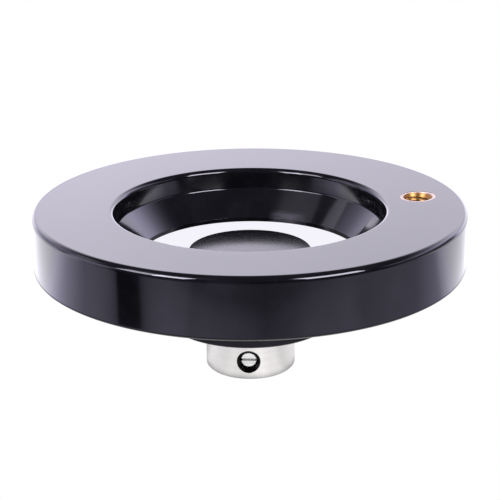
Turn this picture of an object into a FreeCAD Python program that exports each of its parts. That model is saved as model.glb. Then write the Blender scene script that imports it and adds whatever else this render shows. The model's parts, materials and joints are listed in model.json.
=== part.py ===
import FreeCAD, Part
import math
import os
import re
import Sketcher
from FreeCAD import Vector

# Dished handwheel: a glossy phenolic moulding with a metal bush moulded into its hub, a threaded brass
# insert moulded into its rim for a handle, and a set screw across the bush that clamps the shaft.
# Millimetres and degrees. +Z runs up the wheel's axis, the origin is at the centre of the bush's bottom
# face, and the spokes and the handle lie along X.

# Driving dimensions: name, value, meaning.
DIMENSIONS = (
    ("wheel_diameter", 100, "outside of the rim"),
    ("overall_height", 40, "bush's bottom face to the rim's top face"),
    ("rim_height", 13.6, "rim, top to bottom"),
    ("rim_land", 2, "level band along the rim's outer top edge"),
    ("rim_top_round", 1.3, "rounding of the rim's outer top edge"),
    ("rim_bottom_chamfer", 0.7, "rim's outer bottom edge"),
    ("rim_wall", 5.8, "rim's outer wall beside the finger channel"),
    ("face_thickness", 6.5, "rim's top above the finger channel"),
    ("face_fall", 0.8, "fall of the rim's face from its land to the dish"),
    ("dish_diameter", 62.4, "upright wall of the dish"),
    ("dish_wall_height", 5, "upright wall, from the rim's face down to the cone"),
    ("dish_chamfer", 0.8, "dish's top edge"),
    ("dish_web", 4, "moulding between the dish and the finger channel's top"),
    ("lip_diameter", 52, "edge of the windows, at the foot of the cone"),
    ("lip_rise", 0.6, "underside beside the windows, above the rim's bottom"),
    ("lip_thickness", 0.7, "edge of the windows, top to bottom"),
    ("lip_chamfer", 0.25, "both sides of the windows' edge"),
    ("lip_width", 6.5, "flat underside from the lip to the finger channel"),
    ("channel_chamfer", 1, "finger channel's upper corners"),
    ("wave_count", 24, "finger waves round the channel"),
    ("wave_radius", 4.5, "one finger wave"),
    ("wave_depth", 1.8, "finger wave into the rim's outer wall"),
    ("wave_height", 5, "finger wave, up from the rim's bottom"),
    ("hub_diameter", 40, "hub shell at its bottom edge"),
    ("hub_taper", 0.8, "hub shell's radius lost up to its shoulder"),
    ("hub_shoulder_height", 7.5, "hub shell's bottom to its shoulder"),
    ("hub_chamfer", 0.6, "hub shell's bottom edge"),
    ("hub_sink", 11.3, "edge of the hub's top below the rim's top face"),
    ("island_diameter", 28.8, "round top of the hub"),
    ("island_height", 4.2, "upright side of the hub's round top"),
    ("island_chamfer", 0.35, "hub's top edge"),
    ("dome_height", 0.8, "rise of the hub's top from its edge to its middle"),
    ("hub_cap", 6.7, "edge of the hub's top above the bush"),
    ("spoke_count", 2, "spokes, the first one in line with the handle"),
    ("spoke_hub_width", 10, "spoke at the hub"),
    ("spoke_hub_depth", 8.5, "spoke at the hub, top to bottom"),
    ("spoke_hub_rise", 2, "spoke's underside above the hub shell's bottom"),
    ("spoke_hub_bury", 2, "spoke's end inside the hub's round top"),
    ("spoke_rim_width", 11, "spoke at the rim"),
    ("spoke_rim_depth", 3.3, "spoke at the rim, top to bottom"),
    ("spoke_rim_rise", 0.8, "spoke's underside above the rim's bottom"),
    ("spoke_round", 1.2, "rounding along the spokes"),
    ("bush_diameter", 21.1, "outside of the bush"),
    ("bush_exposed", 12, "bush below the hub shell"),
    ("bush_chamfer", 0.5, "bush's outer bottom edge"),
    ("bush_end", 3.5, "closed end of the bush above its bore"),
    ("bore_diameter", 12, "shaft bore"),
    ("bore_chamfer", 0.5, "mouth of the shaft bore"),
    ("flat_count", 2, "milled flats on the bush"),
    ("flat_depth", 1.2, "milled flats that key the bush in the moulding"),
    ("flat_start", 2, "flats above the hub shell's bottom"),
    ("flat_height", 5, "flats, bottom to top"),
    ("handle_inset", 10.2, "handle's thread in from the outside of the rim"),
    ("insert_diameter", 8.2, "brass insert"),
    ("insert_length", 10.5, "brass insert"),
    ("insert_neck_diameter", 7, "groove that holds the insert in the moulding"),
    ("insert_neck_length", 3, "groove, half way up the insert"),
    ("insert_floor", 1.5, "closed end of the insert below its thread"),
    ("tap_diameter", 5, "M6 thread's tapping hole"),
    ("tap_countersink", 7.5, "mouth of the M6 thread"),
    ("boss_diameter", 16, "moulding round the insert, across the finger channel"),
    ("boss_recess", 0.5, "boss above the rim's bottom"),
    ("screw_diameter", 4, "M4 set screw"),
    ("screw_length", 3, "M4 set screw"),
    ("screw_clearance", 0.05, "gap all round the set screw"),
    ("screw_height", 4.5, "set screw's axis above the bush's bottom face"),
    ("screw_azimuth", 10, "set screw's axis, turned from -Y towards -X"),
    ("screw_gap", 0.1, "set screw's point behind the bore's wall"),
    ("screw_chamfer", 0.4, "both ends of the set screw"),
    ("screw_countersink", 5.6, "mouth of the set screw's hole"),
    ("slot_width", 0.6, "screwdriver slot"),
    ("slot_depth", 1.2, "screwdriver slot"),
)

# Radii and heights that follow from them. A name may use the names above it.
PLACES = (
    ("rim_radius", "wheel_diameter / 2"),
    ("rim_bottom", "overall_height - rim_height"),
    ("land_radius", "rim_radius - rim_land"),
    ("dish_radius", "dish_diameter / 2"),
    ("dish_edge", "overall_height - face_fall"),
    ("dish_crease", "dish_edge - dish_wall_height"),
    ("lip_radius", "lip_diameter / 2"),
    ("lip_bottom", "rim_bottom + lip_rise"),
    ("lip_top", "lip_bottom + lip_thickness"),
    ("channel_inner", "lip_radius + lip_width"),
    ("channel_outer", "rim_radius - rim_wall"),
    ("channel_top", "overall_height - face_thickness"),
    ("channel_top_inner", "dish_radius + dish_web"),
    ("wave_centre", "channel_outer + wave_depth - wave_radius"),
    ("hub_bottom", "bush_exposed"),
    ("hub_radius", "hub_diameter / 2"),
    ("hub_top", "overall_height - hub_sink"),
    ("shoulder_radius", "hub_radius - hub_taper"),
    ("shoulder_height", "hub_bottom + hub_shoulder_height"),
    ("island_radius", "island_diameter / 2"),
    ("island_bottom", "hub_top - island_height"),
    ("dome_radius", "island_radius - island_chamfer"),
    ("dome_sphere", "(dome_radius ^ 2 + dome_height ^ 2) / (2 * dome_height)"),
    ("spoke_hub_end", "island_radius - spoke_hub_bury"),
    ("spoke_hub_bottom", "hub_bottom + spoke_hub_rise"),
    ("spoke_rim_end", "lip_radius + lip_width / 2"),
    ("spoke_rim_bottom", "rim_bottom + spoke_rim_rise"),
    ("bush_radius", "bush_diameter / 2"),
    ("bush_length", "hub_top - hub_cap"),
    ("bore_depth", "bush_length - bush_end"),
    ("flat_bottom", "hub_bottom + flat_start"),
    ("handle_radius", "rim_radius - handle_inset"),
    ("insert_radius", "insert_diameter / 2"),
    ("face_slope", "face_fall / (land_radius - dish_radius)"),
    ("insert_top", "overall_height - face_slope * (land_radius - handle_radius - insert_radius)"),
    ("insert_bottom", "insert_top - insert_length"),
    ("insert_end", "(insert_length - insert_neck_length) / 2"),
    ("screw_hole", "screw_diameter + 2 * screw_clearance"),
    ("screw_point", "bore_diameter / 2 + screw_gap"),
)

FULL_TURN = 360
COUNTERSINK_ANGLE = 90
TOLERANCE = 1e-6
HELD_BY_DIMENSIONS = {name for name, _, _ in DIMENSIONS}
HELD_BY_PLACES = {name for name, _ in PLACES}

doc = FreeCAD.newDocument("dished_handwheel")


def linked(expression):
    """The expression with each name written as a link to the sheet that holds it."""
    def link(word):
        if word[0] in HELD_BY_DIMENSIONS:
            return f"Dimensions.{word[0]}"
        if word[0] in HELD_BY_PLACES:
            return f"Places.{word[0]}"
        return word[0]
    return re.sub(r"[a-z_]+", link, expression)


def make_sheets():
    """One sheet of driving dimensions and one of the places worked out from them."""
    dimensions = doc.addObject("Spreadsheet::Sheet", "Dimensions")
    for row, (name, value, meaning) in enumerate(DIMENSIONS, start=1):
        dimensions.set(f"A{row}", meaning)
        dimensions.set(f"B{row}", str(value))
        dimensions.setAlias(f"B{row}", name)
    doc.recompute()
    places = doc.addObject("Spreadsheet::Sheet", "Places")
    for row, (name, formula) in enumerate(PLACES, start=1):
        places.set(f"B{row}", "=" + linked(formula).replace("Places.", ""))
        places.setAlias(f"B{row}", name)
        doc.recompute()
    return dimensions, places


def bind(item, **sizes):
    """Tie properties of an object to expressions; a double underscore stands for a dot."""
    for size, expression in sizes.items():
        item.setExpression(size.replace("__", "."), linked(expression))


def new_body(name, base=None):
    """An empty body, or one that starts from another body's finished shape."""
    body = doc.addObject("PartDesign::Body", name)
    if base:
        body.BaseFeature = base
    return body


def origin_of(body, role):
    """One of the body's own origin planes or axes."""
    return next(item for item in body.Origin.OriginFeatures if item.Role == role)


def new_sketch(body, name, plane, lift="0"):
    """A sketch on one of the body's origin planes, lifted along that plane's normal."""
    sketch = body.newObject("Sketcher::SketchObject", name)
    sketch.AttachmentSupport = [(origin_of(body, plane), "")]
    sketch.MapMode = "FlatFace"
    bind(sketch, AttachmentOffset__Base__z=lift)
    return sketch


def dimension(sketch, name, expression, *constraint):
    """A named dimension of a sketch, tied to an expression."""
    index = sketch.addConstraint(Sketcher.Constraint(*constraint, 1.0))
    sketch.renameConstraint(index, name)
    bind(sketch, **{f"Constraints__{name}": expression})


def draw_outline(sketch, corners):
    """Closed straight-edged outline through corners, each a pair of expressions."""
    count = len(corners)
    turns = [2 * math.pi * index / count for index in range(count)]
    spots = [Vector(math.cos(turn), math.sin(turn), 0) for turn in turns]
    for index in range(count):
        sketch.addGeometry(Part.LineSegment(spots[index], spots[(index + 1) % count]), False)
    for index in range(count):
        sketch.addConstraint(Sketcher.Constraint("Coincident", index, 2, (index + 1) % count, 1))
    for index, (across, up) in enumerate(corners):
        dimension(sketch, f"across_{index}", across, "DistanceX", -1, 1, index, 1)
        dimension(sketch, f"up_{index}", up, "DistanceY", -1, 1, index, 1)


def draw_circle(sketch, diameter, across="0", up="0"):
    """A circle of one diameter about a centre."""
    sketch.addGeometry(Part.Circle(Vector(1, 1, 0), Vector(0, 0, 1), 1), False)
    dimension(sketch, "across", across, "DistanceX", -1, 1, 0, 3)
    dimension(sketch, "up", up, "DistanceY", -1, 1, 0, 3)
    dimension(sketch, "diameter", diameter, "Diameter", 0)


def draw_rounded_box(sketch, width, depth, bottom, radius):
    """A rectangle with round corners, centred across, standing on a bottom height."""
    sides = (((-2, 0), (2, 0)), ((3, 1), (3, 2)), ((2, 3), (-2, 3)), ((-3, 2), (-3, 1)))
    centres = ((2, 1), (2, 2), (-2, 2), (-2, 1))
    for start, end in sides:
        sketch.addGeometry(Part.LineSegment(Vector(*start, 0), Vector(*end, 0)), False)
    for index, centre in enumerate(centres):
        circle = Part.Circle(Vector(*centre, 0), Vector(0, 0, 1), 1)
        start = (index - 1) * math.pi / 2
        sketch.addGeometry(Part.ArcOfCircle(circle, start, start + math.pi / 2), False)
    for side in range(4):
        corner = side + 4
        sketch.addConstraint(Sketcher.Constraint("Tangent", side, 2, corner, 1))
        sketch.addConstraint(Sketcher.Constraint("Tangent", corner, 2, (side + 1) % 4, 1))
    for side, direction in enumerate(("Horizontal", "Vertical", "Horizontal", "Vertical")):
        sketch.addConstraint(Sketcher.Constraint(direction, side))
    for corner in (5, 6, 7):
        sketch.addConstraint(Sketcher.Constraint("Equal", 4, corner))
    dimension(sketch, "radius", radius, "Radius", 4)
    dimension(sketch, "width", width, "DistanceX", 3, 1, 1, 1)
    dimension(sketch, "half_width", f"({width}) / 2", "DistanceX", -1, 1, 1, 1)
    dimension(sketch, "bottom", bottom, "DistanceY", -1, 1, 0, 1)
    dimension(sketch, "depth", depth, "DistanceY", 0, 1, 2, 1)


def revolve(body, name, sketch):
    """Turn a sketch once round its own vertical axis."""
    feature = body.newObject("PartDesign::Revolution", name)
    feature.Profile = sketch
    feature.ReferenceAxis = (sketch, ["V_Axis"])
    feature.Angle = FULL_TURN
    return feature


def pad(body, name, sketch, length):
    """Raise a sketch along its normal."""
    feature = body.newObject("PartDesign::Pad", name)
    feature.Profile = sketch
    bind(feature, Length=length)
    return feature


def pocket(body, name, sketch, length):
    """Cut a sketch along its normal."""
    feature = body.newObject("PartDesign::Pocket", name)
    feature.Profile = sketch
    feature.Reversed = True
    bind(feature, Length=length)
    return feature


def pattern(body, name, feature, count):
    """Repeat a feature evenly round the body's Z axis."""
    copies = body.newObject("PartDesign::PolarPattern", name)
    copies.Originals = [feature]
    copies.Axis = (origin_of(body, "Z_Axis"), [""])
    copies.Angle = FULL_TURN
    bind(copies, Occurrences=count)
    body.Tip = copies
    return copies


def drill(body, name, sketch, diameter, mouth, depth, along_normal=False):
    """A countersunk hole of one depth, against the sketch's normal or along it."""
    doc.recompute()
    hole = body.newObject("PartDesign::Hole", name)
    hole.Profile = sketch
    hole.ThreadType = "None"
    hole.HoleCutType = "Countersink"
    hole.HoleCutCustomValues = True
    hole.HoleCutCountersinkAngle = COUNTERSINK_ANGLE
    hole.DrillPoint = "Flat"
    hole.DepthType = "Dimension"
    hole.Reversed = along_normal
    bind(hole, Diameter=diameter, HoleCutDiameter=mouth, Depth=depth)


def dress_rings(body, kind, name, size, rings):
    """Fillet or chamfer the round edges about the Z axis that lie at given radii and heights."""
    doc.recompute()
    base = body.Tip
    found = []
    for number, edge in enumerate(base.Shape.Edges, start=1):
        if not isinstance(edge.Curve, Part.Circle):
            continue
        for radius, height in rings:
            off_radius = abs(edge.Curve.Radius - radius)
            off_height = abs(edge.Curve.Center.z - height)
            if max(off_radius, off_height) < TOLERANCE:
                found.append(f"Edge{number}")
    if len(found) != len(rings):
        raise RuntimeError(f"{name}: found {len(found)} of {len(rings)} edges")
    feature = body.newObject(f"PartDesign::{kind}", name)
    feature.Base = (base, found)
    bind(feature, **{"Radius" if kind == "Fillet" else "Size": size})
    return feature


def make_rim(at, size):
    """Rim with the dish's wall and cone inside it and a finger channel with waves under it."""
    rim = new_body("rim")
    section = new_sketch(rim, "rim_section", "XZ_Plane")
    draw_outline(section, (
        ("lip_radius", "lip_bottom"),
        ("channel_inner", "lip_bottom"),
        ("channel_top_inner", "channel_top"),
        ("channel_outer", "channel_top"),
        ("channel_outer", "rim_bottom"),
        ("rim_radius", "rim_bottom"),
        ("rim_radius", "overall_height"),
        ("land_radius", "overall_height"),
        ("dish_radius", "dish_edge"),
        ("dish_radius", "dish_crease"),
        ("lip_radius", "lip_top"),
    ))
    revolve(rim, "rim_ring", section)
    dress_rings(rim, "Fillet", "rim_top_edge", "rim_top_round", [(at.rim_radius, size.overall_height)])
    dress_rings(rim, "Chamfer", "rim_bottom_edge", "rim_bottom_chamfer", [(at.rim_radius, at.rim_bottom)])
    dress_rings(rim, "Chamfer", "dish_top_edge", "dish_chamfer", [(at.dish_radius, at.dish_edge)])
    dress_rings(rim, "Chamfer", "lip_edges", "lip_chamfer",
                [(at.lip_radius, at.lip_top), (at.lip_radius, at.lip_bottom)])
    dress_rings(rim, "Chamfer", "channel_corners", "channel_chamfer",
                [(at.channel_top_inner, at.channel_top), (at.channel_outer, at.channel_top)])
    wave_outline = new_sketch(rim, "wave_outline", "XY_Plane", "rim_bottom")
    draw_circle(wave_outline, "2 * wave_radius", across="wave_centre")
    wave = pocket(rim, "wave", wave_outline, "wave_height")
    pattern(rim, "finger_waves", wave, "wave_count")
    boss_outline = new_sketch(rim, "boss_outline", "XY_Plane", "rim_bottom + boss_recess")
    draw_circle(boss_outline, "boss_diameter", across="handle_radius")
    pad(rim, "handle_boss", boss_outline, "channel_top - rim_bottom")
    return rim


def make_hub(at):
    """Hub shell with its round domed top, and the two spokes that reach into the rim."""
    hub = new_body("hub")
    section = new_sketch(hub, "hub_section", "XZ_Plane")
    draw_outline(section, (
        ("0", "hub_bottom"),
        ("hub_radius", "hub_bottom"),
        ("shoulder_radius", "shoulder_height"),
        ("island_radius", "island_bottom"),
        ("island_radius", "hub_top"),
        ("0", "hub_top"),
    ))
    revolve(hub, "hub_shell", section)
    dress_rings(hub, "Chamfer", "hub_bottom_edge", "hub_chamfer", [(at.hub_radius, at.hub_bottom)])
    dress_rings(hub, "Chamfer", "island_edge", "island_chamfer", [(at.island_radius, at.hub_top)])
    dome = hub.newObject("PartDesign::AdditiveSphere", "dome")
    dome.AttachmentSupport = [(origin_of(hub, "XY_Plane"), "")]
    dome.MapMode = "FlatFace"
    bind(dome, Radius="dome_sphere", Angle1="acos(dome_radius / dome_sphere)",
         AttachmentOffset__Base__z="hub_top + dome_height - dome_sphere")
    hub_end = new_sketch(hub, "spoke_hub_section", "YZ_Plane", "spoke_hub_end")
    draw_rounded_box(hub_end, "spoke_hub_width", "spoke_hub_depth", "spoke_hub_bottom", "spoke_round")
    rim_end = new_sketch(hub, "spoke_rim_section", "YZ_Plane", "spoke_rim_end")
    draw_rounded_box(rim_end, "spoke_rim_width", "spoke_rim_depth", "spoke_rim_bottom", "spoke_round")
    spoke = hub.newObject("PartDesign::AdditiveLoft", "spoke")
    spoke.Profile = hub_end
    spoke.Sections = [rim_end]
    pattern(hub, "spokes", spoke, "spoke_count")
    return hub


def make_bush_blank(at):
    """Turned outside of the bush, with two milled flats that key it in the moulding."""
    blank = new_body("bush_blank")
    outline = new_sketch(blank, "bush_outline", "XY_Plane")
    draw_circle(outline, "bush_diameter")
    pad(blank, "bush_bar", outline, "bush_length")
    dress_rings(blank, "Chamfer", "bush_edge", "bush_chamfer", [(at.bush_radius, 0)])
    outline = new_sketch(blank, "flat_outline", "XY_Plane", "flat_bottom")
    draw_outline(outline, (
        ("bush_radius - flat_depth", "-bush_radius"),
        ("2 * bush_radius", "-bush_radius"),
        ("2 * bush_radius", "bush_radius"),
        ("bush_radius - flat_depth", "bush_radius"),
    ))
    flat = pocket(blank, "flat", outline, "flat_height")
    pattern(blank, "flats", flat, "flat_count")
    return blank


def make_insert_blank():
    """Turned outside of the brass insert: two full ends and a neck between them."""
    blank = new_body("insert_blank")
    steps = (
        ("insert_lower", "insert_diameter", "insert_bottom", "insert_end"),
        ("insert_neck", "insert_neck_diameter", "insert_bottom + insert_end", "insert_neck_length"),
        ("insert_upper", "insert_diameter", "insert_top - insert_end", "insert_end"),
    )
    for name, diameter, bottom, length in steps:
        outline = new_sketch(blank, f"{name}_outline", "XY_Plane", bottom)
        draw_circle(outline, diameter, across="handle_radius")
        pad(blank, name, outline, length)
    return blank


def make_wheel_body(rim, hub, blanks):
    """The moulding: rim, hub and spokes in one, with a cavity the shape of each moulded-in piece."""
    moulding = doc.addObject("Part::MultiFuse", "moulding")
    moulding.Shapes = [rim, hub]
    moulded_in = doc.addObject("Part::Compound", "moulded_in")
    moulded_in.Links = blanks
    wheel_body = doc.addObject("Part::Cut", "wheel_body")
    wheel_body.Base = moulding
    wheel_body.Tool = moulded_in
    return wheel_body


def make_hub_bush(blank):
    """Metal bush: shaft bore up from its bottom face and the set screw's hole across its wall."""
    bush = new_body("hub_bush", blank)
    bore_outline = new_sketch(bush, "bore_outline", "XY_Plane")
    draw_circle(bore_outline, "bore_diameter")
    drill(bush, "shaft_bore", bore_outline, "bore_diameter", "bore_diameter + 2 * bore_chamfer",
          "bore_depth", along_normal=True)
    hole_outline = new_sketch(bush, "screw_hole_outline", "XZ_Plane", "cos(screw_azimuth) * bush_radius")
    bind(hole_outline, AttachmentOffset__Base__x="-sin(screw_azimuth) * bush_radius")
    hole_outline.AttachmentOffset.Rotation.Axis = Vector(0, 1, 0)
    bind(hole_outline, AttachmentOffset__Rotation__Angle="-screw_azimuth")
    draw_circle(hole_outline, "screw_hole", up="screw_height")
    drill(bush, "set_screw_hole", hole_outline, "screw_hole", "screw_countersink", "bush_radius")
    return bush


def make_handle_insert(blank):
    """Brass insert with the blind tapping hole of the handle's thread."""
    insert = new_body("handle_insert", blank)
    outline = new_sketch(insert, "tap_outline", "XY_Plane", "insert_top")
    draw_circle(outline, "tap_diameter", across="handle_radius")
    drill(insert, "handle_thread", outline, "tap_diameter", "tap_countersink",
          "insert_length - insert_floor")
    return insert


def make_set_screw(at, size):
    """Slotted set screw, built upright on its point and laid into its hole in the bush."""
    screw = new_body("set_screw")
    outline = new_sketch(screw, "screw_outline", "XY_Plane")
    draw_circle(outline, "screw_diameter")
    pad(screw, "screw_rod", outline, "screw_length")
    ends = [(size.screw_diameter / 2, 0), (size.screw_diameter / 2, size.screw_length)]
    dress_rings(screw, "Chamfer", "screw_ends", "screw_chamfer", ends)
    slot_outline = new_sketch(screw, "slot_outline", "XY_Plane", "screw_length - slot_depth")
    draw_outline(slot_outline, (
        ("-screw_diameter", "-slot_width / 2"),
        ("screw_diameter", "-slot_width / 2"),
        ("screw_diameter", "slot_width / 2"),
        ("-screw_diameter", "slot_width / 2"),
    ))
    pocket(screw, "slot", slot_outline, "slot_depth")
    bind(screw, Placement=(
        "create(<<placement>>; create(<<vector>>; -sin(screw_azimuth) * screw_point;"
        " -cos(screw_azimuth) * screw_point; screw_height);"
        " create(<<rotation>>; create(<<vector>>; 0; 0; 1); -screw_azimuth)"
        " * create(<<rotation>>; create(<<vector>>; 1; 0; 0); 90))"
    ))
    return screw


def check_model(pieces):
    """Stop if an object failed, a cut removed nothing or a piece isn't one valid solid."""
    for item in doc.Objects:
        if {"Invalid", "Error"} & set(item.State):
            raise RuntimeError(f"{item.Name}: {item.State}")
        if item.TypeId in ("PartDesign::Pocket", "PartDesign::Hole"):
            if item.Shape.Volume > item.BaseFeature.Shape.Volume - TOLERANCE:
                raise RuntimeError(f"{item.Name} cuts nothing")
    for piece in pieces:
        if piece.Shape.isNull() or not piece.Shape.isValid() or len(piece.Shape.Solids) != 1:
            raise RuntimeError(f"{piece.Label} isn't one valid solid")


dimensions, places = make_sheets()
bush_blank = make_bush_blank(places)
insert_blank = make_insert_blank()
pieces = [
    make_wheel_body(make_rim(places, dimensions), make_hub(places), [bush_blank, insert_blank]),
    make_hub_bush(bush_blank),
    make_handle_insert(insert_blank),
    make_set_screw(places, dimensions),
]
doc.recompute()
check_model(pieces)

os.makedirs("parts", exist_ok=True)
for piece in pieces:
    piece.Shape.exportStep(f"parts/{piece.Label}.step")
    print(piece.Label, round(piece.Shape.Volume, 1), "mm3")
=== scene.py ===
"""Looks of a dished handwheel: glossy black moulding, turned metal bush, threaded brass insert, set screw."""
import json
import math
from contextlib import contextmanager

import bmesh
import bpy
from mathutils import Matrix, Vector


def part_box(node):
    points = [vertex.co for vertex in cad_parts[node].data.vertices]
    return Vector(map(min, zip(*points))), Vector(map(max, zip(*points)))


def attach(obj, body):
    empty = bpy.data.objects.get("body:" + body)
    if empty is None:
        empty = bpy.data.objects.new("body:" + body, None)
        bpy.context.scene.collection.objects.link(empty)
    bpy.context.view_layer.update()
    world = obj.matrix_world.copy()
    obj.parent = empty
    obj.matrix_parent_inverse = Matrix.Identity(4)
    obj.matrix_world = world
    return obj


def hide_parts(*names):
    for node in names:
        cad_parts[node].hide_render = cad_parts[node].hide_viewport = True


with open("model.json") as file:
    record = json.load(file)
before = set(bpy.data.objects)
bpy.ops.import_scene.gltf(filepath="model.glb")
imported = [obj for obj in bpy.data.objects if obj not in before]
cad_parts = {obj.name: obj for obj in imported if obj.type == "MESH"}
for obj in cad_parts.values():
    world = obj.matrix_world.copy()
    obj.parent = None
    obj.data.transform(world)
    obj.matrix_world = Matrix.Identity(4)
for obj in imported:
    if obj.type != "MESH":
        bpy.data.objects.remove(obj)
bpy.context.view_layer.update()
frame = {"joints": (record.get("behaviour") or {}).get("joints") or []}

MM = 0.001
FULL_TURN = 2 * math.pi
NEAR = 1e-6
UP = Vector((0, 0, 1))

# Places taken from the solids: metres, the wheel's axis is Z and the handle's thread lies on +X.
wheel_low, wheel_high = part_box("wheel_body")
_, bush_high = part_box("hub_bush")
insert_low, insert_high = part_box("handle_insert")
screw_low, screw_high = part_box("set_screw")
RIM_RADIUS = wheel_high.x
TOP = wheel_high.z
HUB_BOTTOM = wheel_low.z
BUSH_RADIUS = bush_high.x
BUSH_TOP = bush_high.z
INSERT_PLACE = Vector(((insert_low.x + insert_high.x) / 2, 0, 0))
INSERT_RADIUS = (insert_high.x - insert_low.x) / 2
INSERT_TOP = insert_high.z
INSERT_BOTTOM = insert_low.z
SCREW_HEIGHT = (screw_low.z + screw_high.z) / 2
SCREW_RADIUS = (screw_high.z - screw_low.z) / 2
SCREW_OUT = Vector(frame["joints"][0]["axis"]).normalized()

# Rim and dish.
RIM_BOTTOM = TOP - 13.6 * MM
RIM_TOP_ROUND = 1.4 * MM
RIM_BOTTOM_ROUND = 0.8 * MM
LAND_RADIUS = RIM_RADIUS - 2 * MM
DISH_RADIUS = 31.2 * MM
DISH_EDGE = TOP - 0.8 * MM
DISH_EDGE_ROUND = 1.2 * MM
DISH_CREASE = DISH_EDGE - 5 * MM
DISH_CREASE_ROUND = 0.8 * MM
LIP_RADIUS = 26 * MM
LIP_BOTTOM = RIM_BOTTOM + 0.6 * MM
LIP_TOP = LIP_BOTTOM + 1 * MM
LIP_ROUND = 0.04 * MM

# Finger channel under the rim.
CHANNEL_INNER = LIP_RADIUS + 6.5 * MM
CHANNEL_OUTER = RIM_RADIUS - 5.8 * MM
CHANNEL_TOP = TOP - 6.5 * MM
CHANNEL_TOP_INNER = DISH_RADIUS + 4 * MM
CHANNEL_ROUND = 1.5 * MM
CHANNEL_EDGE_ROUND = 0.5 * MM
WAVE_COUNT = 24
WAVE_RADIUS = 4.5 * MM
WAVE_DEPTH = 1.8 * MM
WAVE_HEIGHT = 5 * MM
WAVE_ROUND = 1 * MM
BOSS_RADIUS = 8 * MM
BOSS_BOTTOM = RIM_BOTTOM + 0.5 * MM
BOSS_ROUND = 0.4 * MM

# Hub shell with its domed round top. The dome's rounding is a share of its own radius.
HUB_RADIUS = 20 * MM
HUB_ROUND = 0.3 * MM
SHOULDER_RADIUS = 19.2 * MM
SHOULDER_HEIGHT = HUB_BOTTOM + 7.5 * MM
SHOULDER_ROUND = 1.2 * MM
ISLAND_RADIUS = 14.4 * MM
ISLAND_TOP = TOP - 11.3 * MM
ISLAND_BOTTOM = ISLAND_TOP - 4.2 * MM
ISLAND_ROUND = 0.5 * MM
ISLAND_FOOT_ROUND = 0.8 * MM
DOME_HEIGHT = 0.8 * MM
DOME_ROUNDING = 0.9

# Spokes: distance from the axis, width, bottom, top.
SPOKE_HUB_END = (12.4 * MM, 10 * MM, 14 * MM, 22.5 * MM)
SPOKE_RIM_END = (29.25 * MM, 11 * MM, 27.2 * MM, 30.5 * MM)
SPOKE_ROUND = 1.2 * MM
SPOKE_COUNT = 2

# Bush.
BORE_RADIUS = 6 * MM
BORE_TOP = BUSH_TOP - 3.5 * MM
BUSH_CHAMFER = 0.5 * MM
BUSH_EDGE_ROUND = 0.08 * MM

# Threads: core radius, crest radius and pitch of each. The cross hole's thread clears the sliding screw.
HANDLE_THREAD = (2.5 * MM, 3 * MM, 1 * MM)
HANDLE_THREAD_DEPTH = 9 * MM
HANDLE_MOUTH = 3.45 * MM
HANDLE_MOUTH_SLOPE = math.tan(math.radians(60))
INSERT_SINK = 0.03 * MM
CROSS_THREAD = (2.05 * MM, 2.35 * MM, 0.7 * MM)
CROSS_MOUTH = 2.8 * MM
SCREW_THREAD = (1.6 * MM, SCREW_RADIUS - 0.02 * MM, 0.7 * MM)
SCREW_LENGTH = 3 * MM
SCREW_POINT = BORE_RADIUS + 0.1 * MM
SCREW_CHAMFER = 0.25 * MM
SLOT_WIDTH = 0.6 * MM
SLOT_DEPTH = 1.2 * MM
TAP_OVERRUN = 2 * MM
TURNS_BELOW = 2
SPARE_TURNS = 3

# Fineness of the meshes.
LATHE_STEPS = 288
INSERT_STEPS = 128
SMALL_LATHE_STEPS = 96
WAVE_STEPS = 64
THREAD_STEPS = 64
ROUND_STEPS = 8
SHARP_ANGLE = math.radians(32)

# Camera: how it stands before it is turned about the wheel's axis.
CAMERA_SENSOR = 36
CAMERA_LENS = 96.03
CAMERA_PLACE = Vector((0.026, -294.332, 130.97)) * MM
CAMERA_TURN = math.radians(-7.33)
CAMERA_DOWN = math.radians(19.214)
CAMERA_ROLL = math.radians(-0.421)
CAMERA_CLIP = 10 * MM


def degrees(*angles):
    """Angles given in degrees, as Blender reckons them."""
    return tuple(math.radians(angle) for angle in angles)


def elevations(*angles):
    """Heights of unit directions that rise at angles given in degrees."""
    return tuple(math.sin(angle) for angle in degrees(*angles))


def by_bearing(*levels):
    """Levels along a bearing, each given with its place in degrees."""
    return [(math.radians(angle), level) for angle, level in levels]


def by_distance(*levels):
    """Levels along a distance, each given with its place in millimetres."""
    return [(distance * MM, level) for distance, level in levels]


def by_elevation(*levels):
    """Levels along a direction's height, each given with its elevation in degrees."""
    return [(math.sin(math.radians(angle)), level) for angle, level in levels]


def studio_direction(azimuth, elevation):
    """Direction from the wheel. Azimuth starts at the camera and goes to the right of the picture."""
    level = Vector((math.sin(azimuth), -math.cos(azimuth), 0)) * math.cos(elevation)
    return Matrix.Rotation(CAMERA_TURN, 3, "Z") @ (level + UP * math.sin(elevation))


AWAY = studio_direction(math.pi, 0)
RIGHTWARD = studio_direction(math.pi / 2, 0)

# Marks on the finishes. Pairs are where an effect begins and where it is complete.
SMUDGE_EDGE = (0.4, 0.72)
SPECK_SPACING = 1.6 * MM
SPECK_EDGE = (0.05, 0.11)
SPECK_CHOICE = (0.86, 0.9)
RING_TONE_EDGE = (0.35, 0.65)
RING_TONE_SCALE = 0.12

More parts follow.
